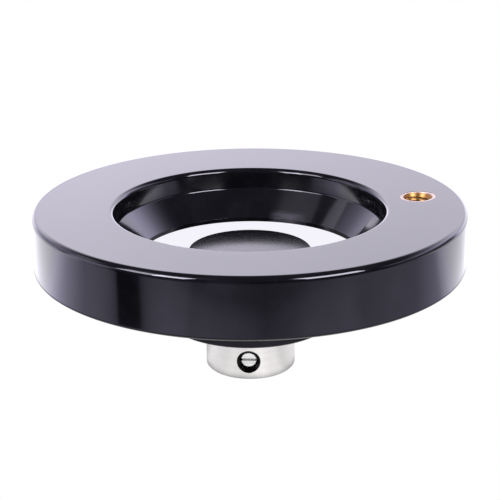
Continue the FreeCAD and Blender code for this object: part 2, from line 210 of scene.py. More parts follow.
# Black moulding. Roughness is given clean and smudged, and the other places add to it.
PHENOLIC_IOR = 1.5
PHENOLIC_COLOUR = (0.0026, 0.0025, 0.0032)
DUST_COLOUR = (0.06, 0.058, 0.065)
DUST_ON_FACE = 0.05
SMUDGE_SIZE = 22 * MM
MOTTLE_SIZE = 6 * MM
PHENOLIC_ROUGHNESS = (0.045, 0.085)
DISH_ROUGHNESS = 0.05
DISH_BORDER = (DISH_RADIUS - 0.3 * MM, DISH_RADIUS + 0.3 * MM)
CROWN_ROUGHNESS = 0.10
CROWN_BORDER = (ISLAND_RADIUS, ISLAND_RADIUS + 0.5 * MM)
WALL_DULLNESS = 2.0
WALL_FOOT = (DISH_CREASE + 0.4 * MM, DISH_CREASE + 0.8 * MM)
WALL_HEAD = (DISH_EDGE - 1.4 * MM, DISH_EDGE - 1 * MM)
RIPPLE_SIZE = 5 * MM
RIPPLE_DEPTH = 0.006 * MM

# Scuff on the cone's far side, in streaks that run round the axis.
SCUFF_HEADING = (RIGHTWARD * 0.4 + AWAY).normalized()
SCUFF_SPREAD = math.radians(12)
SCUFF_TOP = (LIP_TOP + 0.4 * MM, LIP_TOP + 2.2 * MM)
SCUFF_FADE = (1.0, 0.05)
SCUFF_OUTER = (DISH_RADIUS - 1 * MM, DISH_RADIUS - 2 * MM)
SCUFF_INNER = (LIP_RADIUS - 0.5 * MM, LIP_RADIUS)
STREAK_WIDTH = 0.5 * MM
STREAKS_ROUND = 5.0
STREAK_EDGE = (0.3, 0.7)
STREAK_STRENGTH = (0.4, 1.0)

# Turned metals: colours bright, toned and inside a hole, and the hole's start, direction and radius. The bush's
# dark colour inside its cross hole is painted shade; the insert's is its own brass.
METAL_SMUDGE_SIZE = 4 * MM
BRUSHED_AROUND = 0.25
HOLE_EDGE = 0.05 * MM
HOLE_START = 0.1 * MM
BUSH_FINISH = {
    # The last colour is painted shade inside the cross hole.
    "colours": ((0.90, 0.89, 0.88), (0.885, 0.875, 0.865), (0.022, 0.02, 0.02)),
    "roughness": (0.3, 0.33),
    "centre": Vector((0, 0, 0)),
    "pitch": 0.12 * MM,
    "depth": 0.002 * MM,
    "anisotropy": 0.5,
    "hole": (SCREW_OUT * BORE_RADIUS + UP * SCREW_HEIGHT, SCREW_OUT, CROSS_MOUTH),
}
INSERT_FINISH = {
    "colours": ((0.48, 0.385, 0.32), (0.42, 0.32, 0.25), (0.31, 0.165, 0.05)),
    "roughness": (0.36, 0.44),
    "centre": INSERT_PLACE,
    "pitch": 0.1 * MM,
    "depth": 0.003 * MM,
    "anisotropy": 0.2,
    "hole": (INSERT_PLACE + UP * INSERT_TOP, -UP, HANDLE_MOUTH),
}
SCREW_FINISH = {
    "colours": ((0.93, 0.93, 0.93), (0.86, 0.86, 0.86)),
    "roughness": (0.3, 0.4),
    "centre": Vector((0, 0, 0)),
    "pitch": 0.1 * MM,
    "depth": 0.002 * MM,
    "anisotropy": 0.0,
}

# Surroundings as the gloss mirrors them. Bearing is zero straight behind the wheel and grows to the right.
WHITE = (1, 1, 1)
STUDIO_TINT = (0.885, 0.845, 1.0)
SIDE_TINT = (0.80, 0.765, 1.05)
SIDE_TINT_BEARING = degrees(30, 50)
ROOM_RADIANCE = 0.12
BACKDROP_RADIANCE = 2.8
BACKDROP_BY_HEIGHT = by_elevation(
    (0, 1.1), (6, 1.1), (10, 1.0), (12.5, 0.85), (14, 0.79), (17.5, 0.93), (21, 1.08), (24, 1.08),
    (27, 0.97), (30, 0.79), (33, 0.57), (36, 0.36), (40, 0.14), (45, 0.0))
BACKDROP_BY_BEARING = by_bearing(
    (-90, 0.0), (-80, 0.15), (-71, 0.35), (-66, 0.6), (-55, 0.54), (-46, 0.75), (-35, 1.1), (-15, 1.08),
    (-6, 1.09), (6, 0.93), (15, 0.95), (30, 1.05), (45, 1.28), (55, 1.26), (63, 1.08), (70, 0.82),
    (76, 0.52), (84, 0.2), (90, 0.0))
WING_RADIANCE = 1.8
WING_START = degrees(72, 80)
WING_END = degrees(100, 112)
WING_TOP = elevations(25, 30)
CORNER_SHADE = 0.85
CORNER_TOP = elevations(18, 24.5)
CORNER_BEARING = degrees(46, 57)

# Floor as the gloss mirrors it, a painted glow with painted shade: rings round the wheel with a painted contact
# shadow at the bush and a painted shadow round the wheel, then a field of painted light that is brighter behind
# the wheel and darker towards the camera, with painted light patches.
# Its bearing is zero towards the camera and grows to the right.
FLOOR_SIZE = 8
FLOOR_RINGS = by_distance((11.5, 0.45), (12.2, 0.6), (13.2, 0.95), (50, 0.97), (66, 0.55), (100, 0.55))
FLOOR_RING_BANDS = by_bearing(
    (-125, 0.5), (-108, 0.62), (-94, 0.92), (-74, 0.84), (-52, 0.84), (-35, 1.0), (-15, 0.92), (3, 1.08),
    (20, 1.2), (36, 1.02), (50, 1.02), (64, 0.76), (90, 0.87))
FLOOR_RINGS_END = (90 * MM, 100 * MM)
FLOOR_AHEAD = by_distance(
    (-170, 0.22), (-150, 0.40), (-140, 0.39), (-132, 0.56), (-125, 0.70), (-100, 0.95), (-60, 1.1),
    (-30, 1.1), (0, 1.93), (10, 2.33), (20, 2.6), (35, 2.45), (60, 2.25))
FLOOR_PATCHES = by_bearing(
    (-60, 1.0), (-45, 1.1), (-38, 1.29), (-27, 1.33), (-23, 1.08), (-18, 1.2), (-8, 1.08), (0, 0.89),
    (6, 0.66), (10, 0.72), (16, 0.95), (23, 1.3), (40, 1.35), (47, 1.0), (60, 1.0), (84, 0.8),
    (90, 0.74), (92.5, 0.78), (95, 0.96), (102, 1.07), (110, 1.09))
FLOOR_SIDES = (-120 * MM, 120 * MM)
FLOOR_SIDE_LEVELS = (1.14, 0.86)
FLOOR_NEAR_TINT = (1.0, 0.985, 0.98)
FLOOR_TINT = (0.78, 0.74, 1.0)
FLOOR_FAR_TINT = (0.92, 0.905, 1.0)
FLOOR_NEAR_END = (50 * MM, 70 * MM)
FLOOR_FAR_START = (0, 45 * MM)

# Soft shade that the camera sees on the floor behind the wheel.
SHADE_PLACE = AWAY * 112 * MM
SHADE_EDGE = (28 * MM, 68 * MM)
SHADE_COLOUR = (0.905, 0.896, 0.965)

# Black card beside the camera, thin towards its edges.
CARD_AZIMUTH = math.radians(-48.8)
CARD_FACING = math.radians(-63)
CARD_DISTANCE = 105.5 * MM
CARD_WIDTH = 66 * MM
CARD_HEIGHT = 40 * MM
CARD_COLOUR = (0.004, 0.004, 0.005, 1)
CARD_ROUGHNESS = 0.9
CARD_DENSITY = by_distance(
    (-33, 0.0), (-26, 0.1), (-19, 0.22), (-15, 0.36), (-11.4, 0.62), (-8.6, 1.0), (8.7, 1.0), (9.7, 0.62),
    (12, 0.42), (16, 0.22), (22, 0.08), (30, 0.0))

# Soft lights: azimuth, elevation, width and height in degrees as the wheel sees them, and radiance.
SOFTBOX_DISTANCE = 0.7
SOFTBOXES = {
    "softbox_left": (-42, 36, 16, 20, 18),
    "softbox_left_edge": (-60.5, 36, 21, 20, 9.5),
    "softbox_right": (44.2, 36, 28.5, 22, 16),
    "window_left": (-102.5, 37.5, 18, 9, 1.25),
    "ceiling_left": (-57, 54, 40, 14, 0.55),
}


def select_only(piece):
    """Select one piece alone and make it the active one."""
    bpy.ops.object.select_all(action="DESELECT")
    piece.select_set(True)
    bpy.context.view_layer.objects.active = piece


@contextmanager
def editing(piece):
    """Edit mode on one piece alone, with corners to select."""
    select_only(piece)
    bpy.ops.object.mode_set(mode="EDIT")
    bpy.ops.mesh.select_mode(type="VERT")
    yield
    bpy.ops.object.mode_set(mode="OBJECT")


def select_where(piece, kind, wanted):
    """Select the corners or edges that pass a test."""
    bpy.ops.mesh.select_mode(type=kind)
    bpy.ops.mesh.select_all(action="DESELECT")
    mesh = bmesh.from_edit_mesh(piece.data)
    for item in mesh.verts if kind == "VERT" else mesh.edges:
        item.select_set(wanted(item))
    mesh.select_flush_mode()
    bmesh.update_edit_mesh(piece.data)


def named(name):
    """The object that an operator has just added, under a new name."""
    piece = bpy.context.object
    piece.name = name
    piece.data.name = name
    return piece


def close_up(piece):
    """Merge seams and turn all faces outwards."""
    with editing(piece):
        bpy.ops.mesh.select_all(action="SELECT")
        bpy.ops.mesh.remove_doubles(threshold=NEAR)
        bpy.ops.mesh.normals_make_consistent(inside=False)


def draw_section(name, corners):
    """A flat half section in the XZ plane. Each corner is radius, height and rounding."""
    bpy.ops.object.select_all(action="DESELECT")
    bpy.ops.mesh.primitive_circle_add(vertices=len(corners), fill_type="NGON")
    section = named(name)
    places = [Vector((across, 0, up)) for across, up, _ in corners]
    with editing(section):
        mesh = bmesh.from_edit_mesh(section.data)
        for vert, corner in zip(mesh.verts, places):
            vert.co = corner
        bmesh.update_edit_mesh(section.data)
        for index, (_, _, rounding) in enumerate(corners):
            if rounding:
                here = places[index]
                before = places[index - 1] - here
                after = places[(index + 1) % len(places)] - here
                select_where(section, "VERT", lambda vert: (vert.co - here).length < NEAR)
                bpy.ops.mesh.bevel(affect="VERTICES", offset_type="OFFSET", segments=ROUND_STEPS,
                                   offset=rounding / math.tan(before.angle(after) / 2))
    return section


def lathe(name, corners, steps=LATHE_STEPS):
    """Turn a half section about the Z axis."""
    piece = draw_section(name, corners)
    with editing(piece):
        bpy.ops.mesh.select_all(action="SELECT")
        bpy.ops.mesh.delete(type="ONLY_FACE")
        select_where(piece, "EDGE", lambda edge: all(abs(vert.co.x) < NEAR for vert in edge.verts))
        bpy.ops.mesh.delete(type="EDGE")
        bpy.ops.mesh.select_all(action="SELECT")
        bpy.ops.mesh.spin(steps=steps, angle=FULL_TURN, center=(0, 0, 0), axis=(0, 0, 1))
    close_up(piece)
    return piece


def turn_rod(name, radius, low, high, steps, foot_round=0, head_round=0):
    """A round rod on the Z axis, with rounded ends where a rounding is given."""
    return lathe(name, (
        (0, low, 0),
        (radius, low, foot_round),
        (radius, high, head_round),
        (0, high, 0),
    ), steps)


def turn_mouth(name, radius, depth, height):
    """A cone that countersinks a hole: it has its radius at a height and its point a depth below."""
    return lathe(name, (
        (0, height - depth, 0),
        (2 * radius, height + depth, 0),
        (0, height + depth, 0),
    ), SMALL_LATHE_STEPS)


def facing(direction):
    """Turn that points the Z axis in a direction."""
    return direction.to_track_quat("Z", "Y").to_matrix().to_4x4()


def place(piece, matrix):
    """Move a piece and write its place into its mesh."""
    select_only(piece)
    piece.matrix_world = matrix
    bpy.ops.object.transform_apply(location=True, rotation=True, scale=True)
    return piece


def turned_copies(piece, count):
    """Copies of a piece, spread evenly round the Z axis and joined with it."""
    copies = [piece]
    for index in range(1, count):
        select_only(piece)
        bpy.ops.object.duplicate()
        copies.append(place(bpy.context.object, Matrix.Rotation(index * FULL_TURN / count, 4, "Z")))
    for copy in copies:
        copy.select_set(True)
    bpy.context.view_layer.objects.active = piece
    bpy.ops.object.join()
    return piece


def apply_modifier(piece, modifier):
    """Make a modifier's result the piece's own mesh."""
    bpy.context.view_layer.objects.active = piece
    bpy.ops.object.modifier_apply(modifier=modifier.name)


def combine(piece, tool, operation):
    """Join, cut or trim a piece with another one, which is used up."""
    modifier = piece.modifiers.new(operation, "BOOLEAN")
    modifier.operation = operation
    modifier.solver = "EXACT"
    modifier.object = tool
    apply_modifier(piece, modifier)
    bpy.data.objects.remove(tool)


def threaded_rod(name, thread, low, high):
    """A closed rod with a right-handed thread, from one height to another on the Z axis."""
    core, crest, pitch = thread
    bpy.ops.object.select_all(action="DESELECT")
    bpy.ops.mesh.primitive_plane_add()
    rod = named(name)
    flat = pitch / 8
    flank = (pitch - 2 * flat) / 2
    tooth = ((0, flat), (crest - core, flank), (0, flat), (core - crest, flank))
    with editing(rod):
        bpy.ops.mesh.select_all(action="SELECT")
        bpy.ops.mesh.merge(type="CENTER")
        bpy.ops.transform.translate(value=(core, 0, low - TURNS_BELOW * pitch))
        for across, up in tooth:
            bpy.ops.mesh.extrude_region_move(TRANSFORM_OT_translate={"value": (across, 0, up)})
    screw = rod.modifiers.new("thread", "SCREW")
    screw.axis = "Z"
    screw.angle = FULL_TURN
    screw.screw_offset = pitch
    screw.iterations = math.ceil((high - low) / pitch) + SPARE_TURNS
    screw.steps = screw.render_steps = THREAD_STEPS
    apply_modifier(rod, screw)
    close_up(rod)
    with editing(rod):
        for height, side in ((low, "clear_inner"), (high, "clear_outer")):
            bpy.ops.mesh.select_all(action="SELECT")
            bpy.ops.mesh.bisect(plane_co=(0, 0, height), plane_no=(0, 0, 1), threshold=NEAR,
                                use_fill=True, **{side: True})
    close_up(rod)
    return rod


def finish_surface(piece):
    """Smooth shading with crisp edges, and flat faces that stay flat beside their roundings."""
    close_up(piece)
    select_only(piece)
    bpy.ops.object.shade_smooth_by_angle(angle=SHARP_ANGLE)
    weighted = piece.modifiers.new("flat_faces", "WEIGHTED_NORMAL")
    weighted.keep_sharp = True
    apply_modifier(piece, weighted)
    return piece


def make_rim():
    """Rim with the dish's wall and cone inside it and the waved finger channel under it."""
    rim = lathe("wheel", (
        (LIP_RADIUS, LIP_BOTTOM, LIP_ROUND),
        (CHANNEL_INNER, LIP_BOTTOM, CHANNEL_EDGE_ROUND),
        (CHANNEL_TOP_INNER, CHANNEL_TOP, CHANNEL_ROUND),
        (CHANNEL_OUTER, CHANNEL_TOP, CHANNEL_ROUND),
        (CHANNEL_OUTER, RIM_BOTTOM, CHANNEL_EDGE_ROUND),
        (RIM_RADIUS, RIM_BOTTOM, RIM_BOTTOM_ROUND),
        (RIM_RADIUS, TOP, RIM_TOP_ROUND),
        (LAND_RADIUS, TOP, 0),
        (DISH_RADIUS, DISH_EDGE, DISH_EDGE_ROUND),
        (DISH_RADIUS, DISH_CREASE, DISH_CREASE_ROUND),
        (LIP_RADIUS, LIP_TOP, LIP_ROUND),
    ))
    wave = turn_rod("wave", WAVE_RADIUS, RIM_BOTTOM - WAVE_HEIGHT, RIM_BOTTOM + WAVE_HEIGHT, WAVE_STEPS,
                    head_round=WAVE_ROUND)
    place(wave, Matrix.Translation((CHANNEL_OUTER + WAVE_DEPTH - WAVE_RADIUS, 0, 0)))
    combine(rim, turned_copies(wave, WAVE_COUNT), "DIFFERENCE")
    boss = turn_rod("boss", BOSS_RADIUS, BOSS_BOTTOM, (CHANNEL_TOP + TOP) / 2, SMALL_LATHE_STEPS,
                    foot_round=BOSS_ROUND)
    combine(rim, place(boss, Matrix.Translation(INSERT_PLACE)), "UNION")
    return rim


def make_hub():
    """Hub shell, with a round top that is slightly domed."""
    dome_top = ISLAND_TOP + DOME_HEIGHT
    dome_radius = (ISLAND_RADIUS ** 2 + DOME_HEIGHT ** 2) / (2 * DOME_HEIGHT)
    return lathe("hub", (
        (0, HUB_BOTTOM, 0),
        (HUB_RADIUS, HUB_BOTTOM, HUB_ROUND),
        (SHOULDER_RADIUS, SHOULDER_HEIGHT, SHOULDER_ROUND),
        (ISLAND_RADIUS, ISLAND_BOTTOM, ISLAND_FOOT_ROUND),
        (ISLAND_RADIUS, ISLAND_TOP, ISLAND_ROUND),
        (ISLAND_RADIUS / 2, dome_top, dome_radius * DOME_ROUNDING),
        (0, dome_top, 0),
    ))


def make_spokes():
    """Spokes that widen and flatten from the hub up to the rim, with rounded long edges."""
    bpy.ops.object.select_all(action="DESELECT")
    bpy.ops.mesh.primitive_cube_add(size=2)
    spoke = named("spoke")
    with editing(spoke):
        mesh = bmesh.from_edit_mesh(spoke.data)
        for vert in mesh.verts:
            reach, width, bottom, top = SPOKE_HUB_END if vert.co.x < 0 else SPOKE_RIM_END
            vert.co = (reach, vert.co.y * width / 2, top if vert.co.z > 0 else bottom)
        bmesh.update_edit_mesh(spoke.data)
        select_where(spoke, "EDGE", lambda edge: abs(edge.verts[0].co.x - edge.verts[1].co.x) > NEAR)
        bpy.ops.mesh.bevel(affect="EDGES", offset_type="OFFSET", offset=SPOKE_ROUND, segments=ROUND_STEPS)
    close_up(spoke)
    return turned_copies(spoke, SPOKE_COUNT)


def make_wheel():
    """The moulding: rim, spokes and hub in one, with a seat for the bush and one for the insert."""
    wheel = make_rim()
    combine(wheel, make_hub(), "UNION")
    combine(wheel, make_spokes(), "UNION")
    bush_seat = turn_rod("bush_seat", BUSH_RADIUS, HUB_BOTTOM - BUSH_RADIUS, BUSH_TOP, LATHE_STEPS)
    combine(wheel, bush_seat, "DIFFERENCE")
    insert_seat = turn_rod("insert_seat", INSERT_RADIUS, INSERT_BOTTOM, TOP + INSERT_RADIUS, SMALL_LATHE_STEPS)
    combine(wheel, place(insert_seat, Matrix.Translation(INSERT_PLACE)), "DIFFERENCE")
    return finish_surface(wheel)


def screw_frame(distance):
    """Frame on the set screw's axis, with Z pointing out of the hub, at a distance from the wheel's axis."""
    return Matrix.Translation(SCREW_OUT * distance + UP * SCREW_HEIGHT) @ facing(SCREW_OUT)


def make_bush():
    """Turned metal bush with a blind bore and a threaded, countersunk cross hole."""
    bush = lathe("bush", (
        (0, BORE_TOP, 0),
        (BORE_RADIUS, BORE_TOP, 0),
        (BORE_RADIUS, BUSH_CHAMFER, BUSH_EDGE_ROUND),
        (BORE_RADIUS + BUSH_CHAMFER, 0, BUSH_EDGE_ROUND),
        (BUSH_RADIUS - BUSH_CHAMFER, 0, BUSH_EDGE_ROUND),
        (BUSH_RADIUS, BUSH_CHAMFER, BUSH_EDGE_ROUND),
        (BUSH_RADIUS, BUSH_TOP, 0),
        (0, BUSH_TOP, 0),
    ))
    tap = threaded_rod("cross_tap", CROSS_THREAD, -BUSH_RADIUS, TAP_OVERRUN)
    combine(bush, place(tap, screw_frame(BUSH_RADIUS)), "DIFFERENCE")
    mouth = turn_mouth("cross_mouth", CROSS_MOUTH, CROSS_MOUTH, 0)
    combine(bush, place(mouth, screw_frame(BUSH_RADIUS)), "DIFFERENCE")
    return finish_surface(bush)


def make_insert():
    """Brass insert, trimmed flush with the rim's sloping face, with a blind thread under a wide mouth."""
    insert = turn_rod("insert", INSERT_RADIUS, INSERT_BOTTOM, INSERT_TOP, INSERT_STEPS)
    slope = (TOP - DISH_EDGE) / (LAND_RADIUS - DISH_RADIUS)
    face = DISH_EDGE + slope * (INSERT_PLACE.x - DISH_RADIUS) - INSERT_SINK
    with editing(insert):
        bpy.ops.mesh.select_all(action="SELECT")
        bpy.ops.mesh.bisect(plane_co=(0, 0, face), plane_no=(-slope, 0, 1), threshold=NEAR,
                            use_fill=True, clear_outer=True)
    tap = threaded_rod("handle_tap", HANDLE_THREAD, INSERT_TOP - HANDLE_THREAD_DEPTH, INSERT_TOP + TAP_OVERRUN)
    combine(insert, tap, "DIFFERENCE")
    mouth = turn_mouth("handle_mouth", HANDLE_MOUTH, HANDLE_MOUTH * HANDLE_MOUTH_SLOPE, face)
    combine(insert, mouth, "DIFFERENCE")
    return finish_surface(place(insert, Matrix.Translation(INSERT_PLACE)))


def make_screw():
    """Slotted set screw with a thread and chamfered ends."""
    _, crest, pitch = SCREW_THREAD
    screw = threaded_rod("set_screw_thread", SCREW_THREAD, -pitch, SCREW_LENGTH + pitch)
    end_radius = crest - SCREW_CHAMFER
    clear_radius = crest + SCREW_CHAMFER
    slope = clear_radius - end_radius
    ends = lathe("screw_ends", (
        (0, 0, 0),
        (end_radius, 0, 0),
        (clear_radius, slope, 0),
        (clear_radius, SCREW_LENGTH - slope, 0),
        (end_radius, SCREW_LENGTH, 0),
        (0, SCREW_LENGTH, 0),
    ), SMALL_LATHE_STEPS)
    combine(screw, ends, "INTERSECT")
    bpy.ops.object.select_all(action="DESELECT")
    bpy.ops.mesh.primitive_cube_add(size=1)
    slot_size = Matrix.Diagonal((4 * SCREW_RADIUS, SLOT_WIDTH, 2 * SLOT_DEPTH, 1))
    slot = place(named("slot"), Matrix.Translation(UP * SCREW_LENGTH) @ slot_size)
    combine(screw, slot, "DIFFERENCE")
    return finish_surface(place(screw, screw_frame(SCREW_POINT)))


def add(tree, kind, inputs=None, **settings):
    """A new node. Each input is a value, or the output of another node."""
    node = tree.nodes.new("ShaderNode" + kind)
    for name, value in settings.items():
        setattr(node, name, value)
    for name, value in (inputs or {}).items():
        if isinstance(value, bpy.types.NodeSocket):
            tree.links.new(value, node.inputs[name])
        else:
            node.inputs[name].default_value = value
    return node


def reckon(tree, operation, *values):
    """The result of one sum on values."""
    return add(tree, "Math", dict(enumerate(values)), operation=operation).outputs[0]


def reckon_vector(tree, operation, *vectors):
    """The result of one sum on vectors: a value for a length or a dot product, or else a vector."""
    node = add(tree, "VectorMath", dict(enumerate(vectors)), operation=operation)
    return node.outputs["Value" if operation in ("LENGTH", "DOT_PRODUCT") else "Vector"]


def multiply(tree, first, *others):
    """The product of values."""
    for other in others:
        first = reckon(tree, "MULTIPLY", first, other)
    return first


def along(tree, vector, direction):
    """How far a vector reaches in a direction."""
    return reckon_vector(tree, "DOT_PRODUCT", vector, direction)


def from_axis(tree, here):
    """A place's coordinates, its level part and its distance from the Z axis."""
    axes = add(tree, "SeparateXYZ", {"Vector": here}).outputs
    level = add(tree, "CombineXYZ", {"X": axes["X"], "Y": axes["Y"]}).outputs[0]
    return axes, level, reckon_vector(tree, "LENGTH", level)


def spread(tree, value, low, high, to_low=0.0, to_high=1.0):
    """Stretch a value from one range to another, with an eased start and end."""
    return add(tree, "MapRange", {
        "Value": value, "From Min": low, "From Max": high, "To Min": to_low, "To Max": to_high,
    }, interpolation_type="SMOOTHSTEP").outputs["Result"]


def ramp(tree, value, stops):
    """Colours along a value. Each stop is a place and a colour."""
    node = add(tree, "ValToRGB", {"Fac": value})
    elements = node.color_ramp.elements
    for _ in stops[2:]:
        elements.new(0.5)
    for element, (place_on_ramp, colour) in zip(elements, stops):
        element.position = place_on_ramp
        element.color = (*colour, 1)
    return node.outputs["Color"]


def follow(tree, value, levels):
    """Levels along a value. They change evenly between given places and stay as they are outside them."""
    first, last = levels[0][0], levels[-1][0]
    highest = max(level for _, level in levels)
    on_ramp = add(tree, "MapRange", {"Value": value, "From Min": first, "From Max": last}).outputs["Result"]
    stops = [((at - first) / (last - first), (level / highest,) * 3) for at, level in levels]
    return multiply(tree, ramp(tree, on_ramp, stops), highest)


def new_group(name, inputs, outputs):
    """An empty node group with named sockets, all of them plain values apart from Vector."""
    group = bpy.data.node_groups.new(name, "ShaderNodeTree")
    for label in inputs:
        kind = "NodeSocketVector" if label == "Vector" else "NodeSocketFloat"
        group.interface.new_socket(label, in_out="INPUT", socket_type=kind)
    for label in outputs:
        group.interface.new_socket(label, in_out="OUTPUT", socket_type="NodeSocketFloat")
    return group, group.nodes.new("NodeGroupInput").outputs, group.nodes.new("NodeGroupOutput").inputs


def use_group(tree, group, inputs):
    """A node group placed in a material."""
    return add(tree, "Group", inputs, node_tree=group).outputs


def handling_marks():
    """Soft smudges left by hands, and a few specks of dust. Size is the smudges' width."""
    group, given, result = new_group("handling_marks", ("Vector", "Size"), ("Smudge", "Specks"))
    cloud = add(group, "TexNoise", {
        "Vector": given["Vector"], "Scale": reckon(group, "DIVIDE", 1.0, given["Size"]),
        "Detail": 4.0, "Roughness": 0.6,
    })
    group.links.new(spread(group, cloud.outputs["Fac"], *SMUDGE_EDGE), result["Smudge"])
    cells = add(group, "TexVoronoi", {"Vector": given["Vector"], "Scale": 1 / SPECK_SPACING})
    dots = spread(group, cells.outputs["Distance"], *SPECK_EDGE, 1.0, 0.0)
    chosen = add(group, "SeparateColor", {"Color": cells.outputs["Color"]}).outputs["Red"]
    group.links.new(multiply(group, dots, spread(group, chosen, *SPECK_CHOICE)), result["Specks"])
    return group


def turning_marks():
    """Fine rings left by a lathe tool round the Z axis. Pitch is the rings' spacing."""
    group, given, result = new_group("turning_marks", ("Vector", "Pitch"), ("Height", "Tone"))
    axes, _, radius = from_axis(group, given["Vector"])
    rings = reckon(group, "DIVIDE", reckon(group, "ADD", axes["Z"], radius), given["Pitch"])
    fine = add(group, "TexNoise", {"W": rings, "Scale": 1.0, "Detail": 2.0}, noise_dimensions="1D")
    broad = add(group, "TexNoise", {"W": rings, "Scale": RING_TONE_SCALE, "Detail": 1.0}, noise_dimensions="1D")
    group.links.new(fine.outputs["Fac"], result["Height"])
    group.links.new(spread(group, broad.outputs["Fac"], *RING_TONE_EDGE), result["Tone"])
    return group


def new_material(name):
    """A material with its node tree, its shader and the piece's own coordinates."""
    material = bpy.data.materials.new(name)
    material.use_nodes = True
    tree = material.node_tree
    return material, tree, tree.nodes["Principled BSDF"], add(tree, "TexCoord").outputs["Object"]


def bump(tree, shader, height, distance):
    """Relief on a shader, with its full height in metres."""
    relief = add(tree, "Bump", {"Height": height, "Distance": distance, "Strength": 1.0})
    tree.links.new(relief.outputs["Normal"], shader.inputs["Normal"])


def cone_scuff(tree, axes, level, radius):
    """Where the cone is scuffed: low down, round one heading, in streaks."""
    heading = reckon_vector(tree, "NORMALIZE", level)
    angle = reckon(tree, "ARCTAN2", axes["Y"], axes["X"])
    rubbed = add(tree, "CombineXYZ", {
        "X": multiply(tree, radius, 1 / STREAK_WIDTH), "Y": multiply(tree, angle, STREAKS_ROUND),
    }).outputs[0]
    streaks = add(tree, "TexNoise", {"Vector": rubbed, "Scale": 1.0, "Detail": 3.0}).outputs["Fac"]
    return multiply(
        tree,
        spread(tree, along(tree, heading, SCUFF_HEADING), math.cos(SCUFF_SPREAD), 1.0),
        spread(tree, axes["Z"], *SCUFF_TOP, *SCUFF_FADE),
        spread(tree, radius, *SCUFF_OUTER),
        spread(tree, radius, *SCUFF_INNER),
        spread(tree, streaks, *STREAK_EDGE, *STREAK_STRENGTH),
    )


def black_phenolic(marks):
    """Glossy black moulding with faint flow ripple, smudges and dust, duller inside the dish."""
    material, tree, shader, here = new_material("black_phenolic")
    shader.inputs["IOR"].default_value = PHENOLIC_IOR
    marked = use_group(tree, marks, {"Vector": here, "Size": SMUDGE_SIZE})
    mottled = use_group(tree, marks, {"Vector": here, "Size": MOTTLE_SIZE})
    axes, level, radius = from_axis(tree, here)
    dull = reckon(tree, "MAXIMUM", mottled["Smudge"], marked["Specks"])
    dust = reckon(tree, "MAXIMUM", cone_scuff(tree, axes, level, radius), multiply(tree, dull, DUST_ON_FACE))
    tree.links.new(ramp(tree, dust, ((0, PHENOLIC_COLOUR), (1, DUST_COLOUR))), shader.inputs["Base Color"])
    sheen = spread(tree, marked["Smudge"], 0, 1, *PHENOLIC_ROUGHNESS)
    dish = spread(tree, radius, *DISH_BORDER, DISH_ROUGHNESS, 0.0)
    crown = spread(tree, radius, *CROWN_BORDER, CROWN_ROUGHNESS, 0.0)
    wall = multiply(tree, dish, spread(tree, axes["Z"], *WALL_FOOT),
                    spread(tree, axes["Z"], *WALL_HEAD, WALL_DULLNESS, 0.0))
    roughness = sheen
    for duller in (dish, crown, wall):
        roughness = reckon(tree, "ADD", roughness, duller)
    tree.links.new(roughness, shader.inputs["Roughness"])
    ripple = add(tree, "TexNoise", {"Vector": here, "Scale": 1 / RIPPLE_SIZE, "Detail": 1.5})
    bump(tree, shader, ripple.outputs["Fac"], RIPPLE_DEPTH)
    return material


def inside_hole(tree, here, start, axis, radius):
    """Where a surface lies inside a round hole that begins at a point."""
    offset = reckon_vector(tree, "SUBTRACT", here, start)
    distance = reckon_vector(tree, "LENGTH", reckon_vector(tree, "CROSS_PRODUCT", offset, axis))
    within = spread(tree, distance, radius - HOLE_EDGE, radius, 1.0, 0.0)
    return multiply(tree, within, spread(tree, along(tree, offset, axis), 0, HOLE_START))


def turned_metal(name, turned, marks, colours, roughness, centre, pitch, depth, anisotropy, hole=None):
    """Turned metal: rings round the piece's axis, a tone that varies with them, and a colour inside a hole,
    which in the bush is painted shade.
    """
    material, tree, shader, here = new_material(name)
    shader.inputs["Metallic"].default_value = 1.0
    shader.inputs["Anisotropic"].default_value = anisotropy
    shader.inputs["Anisotropic Rotation"].default_value = BRUSHED_AROUND
    on_axis = add(tree, "Mapping", {"Vector": here, "Location": -centre}).outputs["Vector"]
    rings = use_group(tree, turned, {"Vector": on_axis, "Pitch": pitch})
    marked = use_group(tree, marks, {"Vector": here, "Size": METAL_SMUDGE_SIZE})
    tone = multiply(tree, rings["Tone"], marked["Smudge"])
    if hole:
        # The tone takes the first half of the colours, and the hole their end, which in the bush is painted
        # shade.
        tone = reckon(tree, "MAXIMUM", multiply(tree, tone, 0.5), inside_hole(tree, here, *hole))
    stops = [(index / (len(colours) - 1), colour) for index, colour in enumerate(colours)]
    tree.links.new(ramp(tree, tone, stops), shader.inputs["Base Color"])
    tree.links.new(spread(tree, rings["Tone"], 0, 1, *roughness), shader.inputs["Roughness"])
    bump(tree, shader, rings["Height"], depth)
    return material


def wear(piece, name, body, node, material):
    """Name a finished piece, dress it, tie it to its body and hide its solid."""
    piece.name = name
    piece.data.name = name
    piece.data.materials.clear()
    piece.data.materials.append(material)
    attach(piece, body)
    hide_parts(node)


def make_camera():
    """Camera at the photograph's viewing angle."""
    data = bpy.data.cameras.new("camera")
    data.sensor_width = CAMERA_SENSOR
    data.lens = CAMERA_LENS
    data.clip_start = CAMERA_CLIP
    camera = bpy.data.objects.new("camera", data)
    bpy.context.scene.collection.objects.link(camera)
    turn = Matrix.Rotation(CAMERA_TURN, 4, "Z")
    look = Matrix.Rotation(math.pi / 2 - CAMERA_DOWN, 4, "X")
    roll = Matrix.Rotation(CAMERA_ROLL, 4, "Z")
    camera.matrix_world = turn @ Matrix.Translation(CAMERA_PLACE) @ look @ roll
    bpy.context.scene.camera = camera


